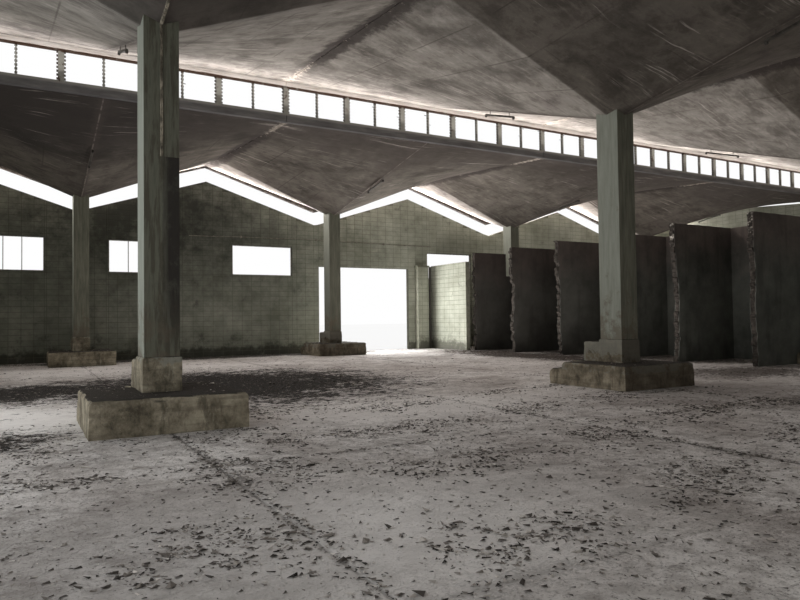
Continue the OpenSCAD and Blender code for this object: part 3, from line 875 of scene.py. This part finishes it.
def smoked_and_shaded(base, uneven):
    """A base colour under a dark ellipse on the inside of the far wall, below the roof edge beside the first
    far columns, that fades at its rim with a noise: partly smoke, partly painted shade on the part of the
    wall furthest from the door light."""
    radius = off_centre((-12.5, 0, 6.0), (11.0, 99, 5.5))
    smoke_and_shade = put("Math", radius, uneven, operation="SUBTRACT")
    smoke_and_shade = graded(smoke_and_shade, 0.70, -0.30, 0.96)
    x, y = put("SeparateXYZ", spot).outputs[:2]
    limits = (graded(y, 8.0, 12.0), put("Math", y, WALL_Y, operation="LESS_THAN"),
              put("Math", x, -WALL_X, operation="GREATER_THAN"))
    return over(base, kept_by(smoke_and_shade, *limits), "#20221b")


# Cement mortar: sandy grey with old paint in it, darker than the blocks
mortar_coat, put, spot, shader = finish("cement_mortar")
sand, base = mottled([(0.35, "#58584d"), (0.65, "#78786a")], 5, 7, 0.7)
# The mortar takes the same smoke and painted shade as the blocks
base = smoked_and_shaded(base, sand)
coated(base, 0.95)
wall_nodes = [f"{row}_wall_{k}" for row in ("far", "near") for k in (1, 2, 3, 4)]
wall_nodes += [f"{side}_wall_{row}" for side in ("left", "right") for row in ("far", "mid", "near")]
dress(mortar_coat, *wall_nodes, "door_side_wall")

# Oil paint on concrete block: a dull sheen, pale olive, each block in a slightly other tone.
# Blocks that are given a tone above 1 are paler: on the side wall and pier beside the door this is partly
# fresher paint, partly painted light from the door.
block_coat, put, spot, shader = finish("painted_concrete_block")
tone = put("Attribute", attribute_name="tone").outputs["Fac"]
_, base = mottled([(0.34, "#747769"), (0.5, "#8c8f82"), (0.66, "#a1a395")], 0.7, 8, 0.68)
base = over(base, put("Math", tone, 0.13, operation="MULTIPLY"), "#babaab")
height_of = put("SeparateXYZ", spot).outputs[2]
splash = graded(height_of, 1.3, 0.2, 0.22)
scuff = noisy(1.9, 9, 0.74)
foot = graded(height_of, 0.62, 0.48, 0.12)
scuff = put("Math", scuff, put("Math", splash, foot))
base = laid(base, scuff, 0.60, 0.76, "#46443c", 0.8)
# Smoke and painted shade on the far wall, away from the door
base = smoked_and_shaded(base, scuff)
grain = noisy(45, 4)
coated(base, 0.8, grain, 0.3, 0.006)


sill, head, door_head = FLOOR + 3.42, FLOOR + 4.71, FLOOR + 3.88


def block_faces(start, end, low, top, gaps, course=(0.41, 0.21), highest=9.0):
    """Corners of the block faces of one wall as (n, 4, 2) positions along and up: a stack-bond
    grid with a joint at the sills, cut at the ends and round each gap (from, to, sill, head) and
    to the line top(u)."""
    cuts = sorted({start, end, *(g[0] for g in gaps), *(g[1] for g in gaps)})
    found = []
    for a, b in zip(cuts[:-1], cuts[1:]):
        inside = [g for g in gaps if g[0] <= a + 1e-6 and g[1] >= b - 1e-6]
        levels = [low, *(z for g in inside for z in g[2:]), highest]
        for z0, z1 in zip(levels[::2], levels[1::2]):
            grid = np.arange(math.floor(a / course[0]), b / course[0] + 1) * course[0]
            us = np.unique(np.clip(grid, a, b))
            zs = np.unique(np.clip(np.append(np.arange(low, highest, course[1]), sill), z0, z1))
            if len(us) < 2 or len(zs) < 2:
                continue
            left, down = np.meshgrid(us[:-1], zs[:-1])
            away, rise = np.meshgrid(us[1:], zs[1:])
            joint = 0.006  # half of one
            left, away, down, rise = left + joint, away - joint, down + joint, rise - joint
            rise_left, rise_right = np.minimum(rise, top(left) - joint), np.minimum(rise, top(away) - joint)
            # Slivers are left out
            keep = (away - left > 0.03) & (rise_left - down > 0.015) & (rise_right - down > 0.015)
            corners = [(left, down), (away, down), (away, rise_right), (left, rise_left)]
            found.append(np.stack([np.stack([u[keep], z[keep]], -1) for u, z in corners], 1))
    return np.concatenate(found)


def facing(name, corners, along, face, way, seed, paler=0.0, spread=1.0):
    """The raised block faces on one side of a wall. The wall runs along X (0) or Y (1); this side stands at
    face on the other axis and looks along it, way being +1 or -1. The outer face is 4 mm smaller all round,
    so each block has a soft arris. Tones run from paler up by spread."""
    centre = corners.mean(axis=1, keepdims=True)
    shrink = corners + np.clip(centre - corners, -0.004, 0.004)
    points = np.empty((len(corners), 8, 3))
    points[..., along] = np.hstack([corners[..., 0], shrink[..., 0]])
    points[..., 2] = np.hstack([corners[..., 1], shrink[..., 1]])
    points[:, :4, 1 - along], points[:, 4:, 1 - along] = face, face + way * 0.005
    sides = np.array([[4, 5, 6, 7], [3, 2, 1, 0], [0, 1, 5, 4], [1, 2, 6, 5], [2, 3, 7, 6], [3, 0, 4, 7]])
    faces = (np.arange(len(corners))[:, None, None] * 8 + sides).reshape(-1, 4)
    if (way > 0) == (along == 0):
        faces = faces[:, ::-1]
    tones = np.repeat(np.random.default_rng(seed).uniform(0, 1, len(corners)), 8)
    piece(name, points.reshape(-1, 3), [faces], [block_coat], "painted_block", tone=paler + spread * tones)


def gable(side):
    """Top line of a long wall, 0.80 m under the roof edge at the column lines and 0.67 m under
    it between them."""
    y = side * cut
    valley, peak = soffit(0, y) - 0.80, soffit(BAY / 2, y) - 0.67
    return lambda x: valley + (peak - valley) * np.abs((x + 2 * BAY) % BAY - BAY / 2) / (BAY / 2)


# Two windows of 2.66 m in each bay; in the far wall the door takes the place of one
panes = [(c + start, c + start + 2.66, sill, head) for start in (-3.76, 1.10) for c in columns_x]
far_gaps = sorted(g for g in panes if abs(g[0] + 3.75) > 0.01) + [(-4.68, 0.0, FLOOR, door_head)]
for side, name, gaps in ((1, "far", far_gaps), (-1, "near", panes)):
    for out, where in ((-1, "inner"), (1, "outer")):
        end = WALL_X + 0.1 * out
        corners = block_faces(-end, end, FLOOR, gable(side), gaps)
        facing(f"block_facing_{name}_{where}", corners, 0, side * (WALL_Y + 0.1 * out),
               side * out, 5 + side + out)

# Each end wall in three parts, one to a row, with where each begins and ends past its row
mid_gaps = [(c - 1.33, c + 1.33, sill, head) for c in ROW / 2 * np.array([-0.75, -0.25, 0.25, 0.75])]
end_walls = []
for row, start, end in (("far", -ROW / 2, 1.9), ("mid", -ROW / 2, ROW / 2), ("near", -1.9, ROW / 2)):
    end_walls.append((row, rows_y[row], start, end, [g for g in mid_gaps if g[0] > start and g[1] < end]))
high_rim = 7.755  # where the shell ends and the clerestory begins


def under_roof(y):
    """Top line of an end wall, 0.10 m under the edge of the shell."""
    return THROAT + RISE - 0.10 + LIFT / ROW * y


for side, name in ((-1, "left"), (1, "right")):
    for row, centre_y, start, end, gaps in end_walls:
        for out, where in ((-1, "inner"), (1, "outer")):
            corners = block_faces(start, min(end, high_rim), FLOOR, under_roof, gaps)
            if end > high_rim:
                beside = block_faces(high_rim, end, FLOOR, lambda y: 0 * y + FLOOR + 7.12, [])
                corners = np.concatenate([corners, beside])
            facing(f"block_facing_{name}_{row}_{where}", corners + (centre_y, 0), 1,
                   side * (WALL_X + 0.1 * out), side * out, 50 + side + out + int(centre_y))


# Side wall and pier by the door
# A lower wall of the same blocks runs from the far wall to the last bunker fin; a pier with
# a concrete ledge and a vertical drain pipe stand in the corner between it and the door.
# Tones above 1 make these blocks paler: partly fresher paint, partly painted light from the door beside them
corners = block_faces(14.60, 17.60, FLOOR, lambda y: 0 * y + FLOOR + 4.05, [])
facing("block_facing_side_wall", corners, 1, 1.30, -1, 91, paler=1.1, spread=0.4)
corners = block_faces(0.37, 0.97, FLOOR, lambda x: 0 * x + FLOOR + 3.97, [], (0.30, 0.21))
facing("block_facing_pier", corners, 0, 17.30, -1, 92, paler=1.1, spread=0.4)


def carry(path, profile):
    """Points and faces of a bar: its (n, 2) profile stands square to the path at each of its
    points, with a closing fan at both ends. The profile runs counterclockwise; along +Y its
    first axis is +X and its second is down."""
    path = np.asarray(path, float)
    way = np.gradient(path, axis=0)
    way /= np.linalg.norm(way, axis=1, keepdims=True)
    across = np.cross(way, np.where(np.abs(way[:, 2:]) < 0.9, [[0, 0, 1]], [[1, 0, 0]]))
    across /= np.linalg.norm(across, axis=1, keepdims=True)
    profile = np.asarray(profile, float)
    ring = profile[:, :1] * across[:, None] + profile[:, 1:] * np.cross(way, across)[:, None]
    points = np.concatenate([(path[:, None] + ring).reshape(-1, 3), path[[0, -1]]])
    return points, closed_skin(len(path), len(profile))


def tube(path, radius, sides=12):
    """A round bar carried along a path."""
    angle = np.linspace(0, 2 * np.pi, sides, endpoint=False)
    return carry(path, radius * np.stack([np.cos(angle), np.sin(angle)], axis=1))


# Tarred iron: nearly black, with the dull shine of old tar
pipe_coat, put, spot, shader = finish("tarred_pipe")
coated("#4a4742", 0.6)
parts = [tube(xyz(1.16, 17.48, np.linspace(FLOOR, FLOOR + 4.0, 9)), 0.055)]
parts += [tube(xyz(1.16, 17.48, [z, z + 0.09]), 0.07) for z in (1.6, 3.0)]
piece("corner_drain_pipe", *gather(parts), [pipe_coat], "louvre_paint", smooth=40)


# Wall conduit
# A thin steel conduit runs along the far wall above the windows, on saddles, with a few
# round junction boxes; everything that it fed is gone.
# Zinc-coated steel gone dull, with brown rust where the zinc is through
conduit_coat, put, spot, shader = finish("bare_steel_conduit")
_, base = mottled([(0.38, "#5b564d"), (0.62, "#7d7a70")], 7, 5)
coated(base, 0.65)
xs = np.linspace(-10.4, 1.3, 60)
zs = np.interp(xs, [-10.4, -5.6, 1.3], [5.21, 5.28, 5.21]) + 0.006 * np.sin(xs * 2.1)
parts = [tube(xyz(xs, 17.575, zs), 0.014, 8)]
for k, x in enumerate(np.arange(-9.4, 1.2, 1.15)):
    parts.append(tube(xyz(x, [17.598, 17.555], np.interp(x, xs, zs)), 0.055 if k % 3 == 1 else 0.028, 10))
piece("wall_conduit", *gather(parts), [conduit_coat], "louvre_paint", smooth=40)


# Plastered riser
# The cable to the light by the first column runs in a strip of plaster, 50 mm wide, along
# the fold of the shell and down the near face of the column to the edge of the black coat.
# Gypsum plaster: pale pinkish grey, matt, soiled along its edges
strip_coat, put, spot, shader = finish("soiled_gypsum_plaster")
tall = put("Mapping", spot, Scale=(3, 3, 1))
_, base = mottled([(0.42, "#474238"), (0.50, "#6c665a"), (0.55, "#8d8576"), (0.62, "#aba292")],
                  3, 8, 0.76, vector=tall)
coated(base, 0.9)
strip = ((-0.025, -0.012), (0.025, -0.012), (0.016, 0.012), (-0.016, 0.012))
along_y = np.linspace(-3.45, -0.30, 12)
fold_line = xyz(columns_x[0], along_y, soffit(0, along_y) - 0.004)
drop = xyz(columns_x[0], -0.304, np.linspace(soffit(0, -0.3) - 0.01, black_top, 9))
parts = [carry(fold_line, strip), carry(drop, [(b, -a) for a, b in strip])]
piece("cable_strip", *gather(parts), [strip_coat], "shell_concrete", smooth=30)


# Window frames
# Thin steel frames with three upright bars each. The glass is out, and the two windows beside
# the door have lost their bars as well.
# Painted steel section: grey paint, scabbed with rust
frame_coat, put, spot, shader = finish("painted_steel_section")
_, base = mottled([(0.42, "#8d8f88"), (0.62, "#6d5c50")], 9, 6, 0.7)
coated(base, 0.6)


def bars(start, end, barred, wide=0.035, half_bar=0.014):
    """Lowest and highest corners, along and up, of the frame of one window and its uprights."""
    rim = [(start, sill, start + wide, head), (end - wide, sill, end, head),
           (start, sill, end, sill + wide), (start, head - wide, end, head)]
    return rim + [(u - half_bar, sill, u + half_bar, head)
                  for u in (start + 0.73, (start + end) / 2, end - 0.73) if barred]


end_gaps = [(g[0] + centre_y, g[1] + centre_y) for _, centre_y, _, _, gaps in end_walls for g in gaps]
for name, along, face, gaps in (("far", 0, WALL_Y, far_gaps[:-1]), ("near", 0, -WALL_Y, panes),
                                ("left", 1, -WALL_X, end_gaps), ("right", 1, WALL_X, end_gaps)):
    rects = []
    for start, end, *_ in gaps:
        beside_door = name == "far" and min(abs(start + 8.61), abs(start - 1.09)) < 0.01
        rects += bars(start, end, not beside_door)
    low, high = (np.insert(corner, 1 - along, face + off, axis=1)
                 for corner, off in zip(np.split(np.array(rects), 2, axis=1), (-0.018, 0.018)))
    piece(f"window_frames_{name}", *many_boxes(low, high), [frame_coat], "louvre_paint")


# Bunker walls
# Fins and a spine of clay brick with 20 mm of dark cement plaster on both sides. The free
# ends are broken back: the brick core stands out in ragged courses past the torn plaster.
# Cement plaster: nearly black olive, brownish and worn at the top, streaked by rain.
plaster_coat, put, spot, shader = finish("dark_cement_plaster")
cloud, low_tone = mottled([(0.35, "#444642"), (0.65, "#676963")], 0.9, 9, 0.66)
_, y, z = put("SeparateXYZ", spot).outputs
high_tone = put("ValToRGB", cloud, ramp=[(0.35, "#4a4340"), (0.65, "#685f5a")])
blend = swayed(z, cloud, 3.0, "ADD")
blend = graded(blend, 4.4, 5.8)
base = over(low_tone, blend, high_tone)
runs = noisy(1.5, 7, vector=put("Mapping", spot, Scale=(2.2, 2.2, 0.35)))
base = laid(base, runs, 0.54, 0.68, "#333330", 0.35)
scrape = noisy(7, 9, 0.75)
base = laid(base, scrape, 0.60, 0.68, "#7d7c75", 0.35)
# Soot from the fire by the door is thickest on the fins furthest in
base = laid(base, y, 4.5, 11.0, "#29221f", 0.6)
trowelled = noisy(5, 7)
coated(base, 0.85, trowelled, 0.4, 0.015)
dress(plaster_coat, "bunker_spine")

# Broken brick and mortar: dark and dusty, the darkness partly painted shade in the torn ends, and rough
# enough to hold its own shadows; on the two fins nearest the middle row fresh plaster shows pale near the top
brick_coat, put, spot, shader = finish("broken_clay_brick")
chips, base = mottled([(0.36, "#211f1c"), (0.50, "#37332f"), (0.66, "#504b46")], 9, 8, 0.72)
_, y, z = put("SeparateXYZ", spot).outputs
paler = graded(z, 3.3, 4.2, 0.16)
paler = kept_by(put("Math", y, 4.3, operation="LESS_THAN"), paler)
base = laid(base, put("Math", chips, paler), 0.70, 0.75, "#b5b1a8")
coated(base, 0.95, chips, 0.8, 0.03)

spine_x, fin_top, fin_length = 4.75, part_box("bunker_fins")[1][2], 3.15
notch = spine_x - fin_length + 1.85  # from here to the spine the last fin is 3.4 m high
near_end, far_end, thick = 1.12, 14.58, 0.20
fin_parts, fin_kind = [], []
# From the near end on, the share of each fin's length that is left
for k, left in enumerate((0.93, 0.92, 0.935, 0.95, 0.99, 1.0)):
    y = near_end + k * ((far_end - near_end - thick) / 5) + thick / 2
    zs = np.linspace(FLOOR, fin_top, 110)
    probe = xyz(k, 0, zs)
    # The lower part is bitten back most, and a finer tear runs along the whole edge
    torn = spine_x - fin_length * left + 0.09 + 0.07 * ripple(probe, 1.9, 60 + k)
    torn += 0.03 * ripple(probe, 0.3, 80 + k, 2)
    torn += np.interp(zs, [FLOOR + 2.6, FLOOR + 3.1], [0.04, -0.03])
    torn = np.maximum(torn, spine_x - fin_length * left + 0.01)
    courses = np.floor(zs / 0.10).astype(int)
    bricks = np.random.default_rng(70 + k).uniform(-0.05, 0.06, 60)[courses]
    sheets = ((y - 0.10, y - 0.08, torn, 0), (y + 0.08, y + 0.10, torn + 0.03, 0),
              (y - 0.08, y + 0.08, torn - bricks, 1))
    for low_y, high_y, edge, kind in sheets:
        share = np.linspace(0, 1, 16) ** 1.5
        x = edge[:, None] + (spine_x - edge[:, None]) * share[None]
        if k == 5:
            inner = np.tile(np.linspace(notch + 0.0005, spine_x, 10), (len(zs), 1))
            x = np.hstack([edge[:, None] + (notch - 0.0005 - edge[:, None]) * share[None], inner])
        top = 0 * x + zs[:, None]
        if kind == 0:
            worn_top = 0.03 * np.clip(ripple(xyz(x, k, 0), 0.5, 7 + k), 0, 1)
            top -= np.where(zs[:, None] > fin_top - 0.01, worn_top, 0)
        if k == 5:
            top = np.where(x > notch, np.minimum(top, FLOOR + 3.4), top)
        # A slab that lies between two heights is stood up: its height becomes Y, and its Y is Z
        flat, quads = closed_slab(x, top, low_y, high_y)
        fin_parts.append((flat[:, [0, 2, 1]], [q[:, ::-1] for q in quads]))
        fin_kind.append(np.full(sum(len(q) for q in quads), kind))
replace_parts(piece("bunker_fin_walls", *gather(fin_parts), [plaster_coat, brick_coat], "dark_plaster",
                  np.concatenate(fin_kind), smooth=20), "bunker_fins")


# Light battens
# Bare fluorescent battens hang on two short stems under the fold of each umbrella, on each
# side of the column where the shell is whole, tilted with the fold. Their tubes are gone.
# Dirty enamel: stove enamel under a film of soot, with a weak shine left
enamel_coat, put, spot, shader = finish("dirty_enamel")
_, base = mottled([(0.38, "#35322f"), (0.62, "#55514c")], 6, 5)
coated(base, 0.5)
# Profiles of the tray and of the lampholders at its ends
tray = ((-0.018, -0.026), (0.018, -0.026), (0.034, 0.008), (0.034, 0.024), (-0.034, 0.024), (-0.034, 0.008))
holder = ((-0.022, -0.020), (0.022, -0.020), (0.030, 0.040), (0.018, 0.066), (-0.018, 0.066), (-0.030, 0.040))
parts = []
for row, sides in (("mid", (1, -1)), ("far", (-1,)), ("near", (1,))):
    for x in columns_x:
        for side in sides:
            # Each hangs 4.1 m from its column and slopes with the fold
            middle = np.array([x, rows_y[row] + side * 4.1, soffit(0, side * 4.1) - 0.11])
            way = np.array([0, 1, side * 2 * RISE / ROW + LIFT / ROW])
            parts.append(carry(middle + np.outer(np.linspace(-0.60, 0.60, 5), way), tray))
            parts += [carry(middle + np.outer((a, a + 0.045), way), holder) for a in (-0.625, 0.580)]
            for a in (-0.42, 0.42):
                stem = middle + a * way
                parts.append(tube([stem, stem + (0, 0, 0.06), stem + (0, 0, 0.125)], 0.009, 8))
piece("light_battens", *gather(parts), [enamel_coat], "louvre_paint", smooth=30)


# Roof outlets
# Rain runs to the column, where a cast-iron dome grating keeps leaves out of the pipe
# that goes down inside the shaft.
# Cast iron: dark grey, sandy skin
iron_coat, put, spot, shader = finish("cast_iron")
coated("#4b4a48", 0.7)
parts = []
whole, half = np.linspace(0, 2 * np.pi, 25), np.linspace(0, np.pi, 11)
rim_z, radius = soffit(0, 0) + SHELL + 0.05, 0.13
for centre_y in rows_y.values():
    for x in columns_x:
        rim = xyz(x + radius * np.cos(whole), centre_y + radius * np.sin(whole), rim_z)
        parts.append(tube(rim, 0.012, 6))
        for a in np.linspace(0, np.pi, 4, endpoint=False):
            rib = radius * np.cos(half)
            rib = xyz(x + rib * np.cos(a), centre_y + rib * np.sin(a), rim_z + 0.11 * np.sin(half))
            parts.append(tube(rib, 0.009, 6))
piece("roof_outlets", *gather(parts), [iron_coat], "louvre_paint", smooth=50)
